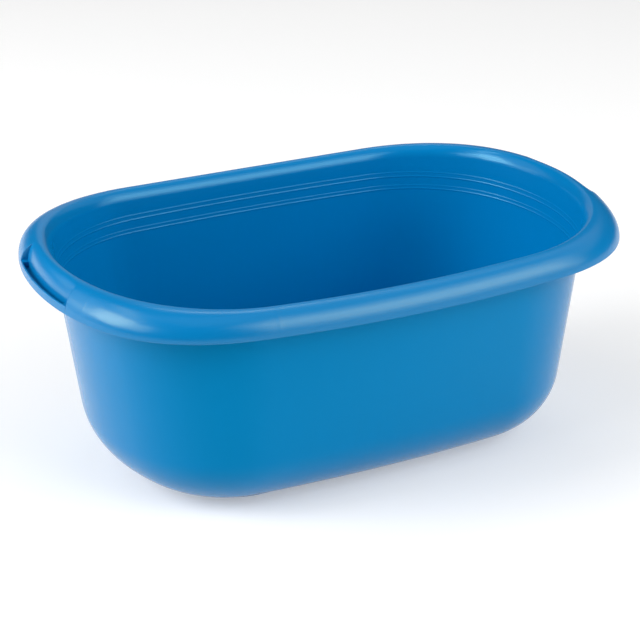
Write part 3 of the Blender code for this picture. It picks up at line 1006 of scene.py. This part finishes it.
def studio_floor(stage):
    shape = bmesh.new()
    bmesh.ops.create_circle(
        shape, segments=STUDIO_FLOOR_SEGMENTS, radius=STUDIO_FLOOR_RADIUS, cap_ends=True)
    mesh = bpy.data.meshes.new("studio_floor")
    shape.to_mesh(mesh)
    shape.free()
    mesh.materials.append(studio_floor_material(stage))
    floor = bpy.data.objects.new("studio_floor", mesh)
    bpy.context.scene.collection.objects.link(floor)


def studio_room(stage):
    world = bpy.data.worlds.new("studio_room")
    world.use_nodes = True
    background = world.node_tree.nodes["Background"]
    background.inputs["Color"].default_value = (1.0, 1.0, 1.0, 1.0)
    background.inputs["Strength"].default_value = stage.room_level
    bpy.context.scene.world = world


def studio_camera(stage):
    data = bpy.data.cameras.new("camera")
    data.lens = stage.lens
    data.sensor_width = SENSOR_WIDTH
    camera = bpy.data.objects.new("camera", data)
    bpy.context.scene.collection.objects.link(camera)
    toward = direction(stage.azimuth, stage.elevation)
    camera.location = Vector((stage.aim_x, 0.0, stage.aim_z)) + toward * stage.distance
    camera.rotation_euler = toward.to_track_quat("Z", "Y").to_euler()
    bpy.context.scene.camera = camera


class LAUNDRY_TUB_OT_stage(bpy.types.Operator):
    """Add the pale floor, the room's light, the soft lamps and the camera"""

    bl_idname = "laundry_tub.stage"
    bl_label = "Stage"

    def execute(self, context):
        stage = context.scene.laundry_tub_stage
        studio_floor(stage)
        studio_room(stage)
        studio_camera(stage)
        for lamp in LAMPS:
            soft_lamp(*lamp)
        context.scene.view_settings.view_transform = "Standard"
        return {"FINISHED"}


class LAUNDRY_TUB_PT_panel(bpy.types.Panel):
    """Lists the tub's pieces and the stage, and their settings"""

    bl_idname = "LAUNDRY_TUB_PT_panel"
    bl_label = "Laundry tub"
    bl_space_type = "VIEW_3D"
    bl_region_type = "UI"
    bl_category = "Laundry tub"

    def draw(self, context):
        for maker in OPERATORS:
            self.layout.operator(maker.bl_idname)
        for title, (group, _) in GROUPS.items():
            box = self.layout.box()
            box.label(text=title)
            settings = getattr(context.scene, group)
            for name in settings.bl_rna.properties.keys():
                if name not in ("rna_type", "name"):
                    box.prop(settings, name)


OPERATORS = (
    LAUNDRY_TUB_OT_floor_panel,
    LAUNDRY_TUB_OT_foot_ring,
    LAUNDRY_TUB_OT_walls,
    LAUNDRY_TUB_OT_rims,
    LAUNDRY_TUB_OT_beads,
    LAUNDRY_TUB_OT_grip_bars,
    LAUNDRY_TUB_OT_stage,
)
GROUPS = {
    "Sizes": ("laundry_tub_sizes", LAUNDRY_TUB_PG_sizes),
    "Plastic": ("laundry_tub_plastic", LAUNDRY_TUB_PG_plastic),
    "Stage": ("laundry_tub_stage", LAUNDRY_TUB_PG_stage),
}
CLASSES = tuple(kind for _, kind in GROUPS.values()) + OPERATORS + (LAUNDRY_TUB_PT_panel,)


def register():
    for each in CLASSES:
        bpy.utils.register_class(each)
    for group, kind in GROUPS.values():
        setattr(bpy.types.Scene, group, PointerProperty(type=kind))


def unregister():
    for group, _ in GROUPS.values():
        delattr(bpy.types.Scene, group)
    for each in reversed(CLASSES):
        bpy.utils.unregister_class(each)


def main():
    register()
    bpy.ops.laundry_tub.floor_panel()
    bpy.ops.laundry_tub.foot_ring()
    bpy.ops.laundry_tub.walls()
    bpy.ops.laundry_tub.rims()
    bpy.ops.laundry_tub.beads()
    bpy.ops.laundry_tub.grip_bars()
    bpy.ops.laundry_tub.stage()


if __name__ == "__main__":
    main()
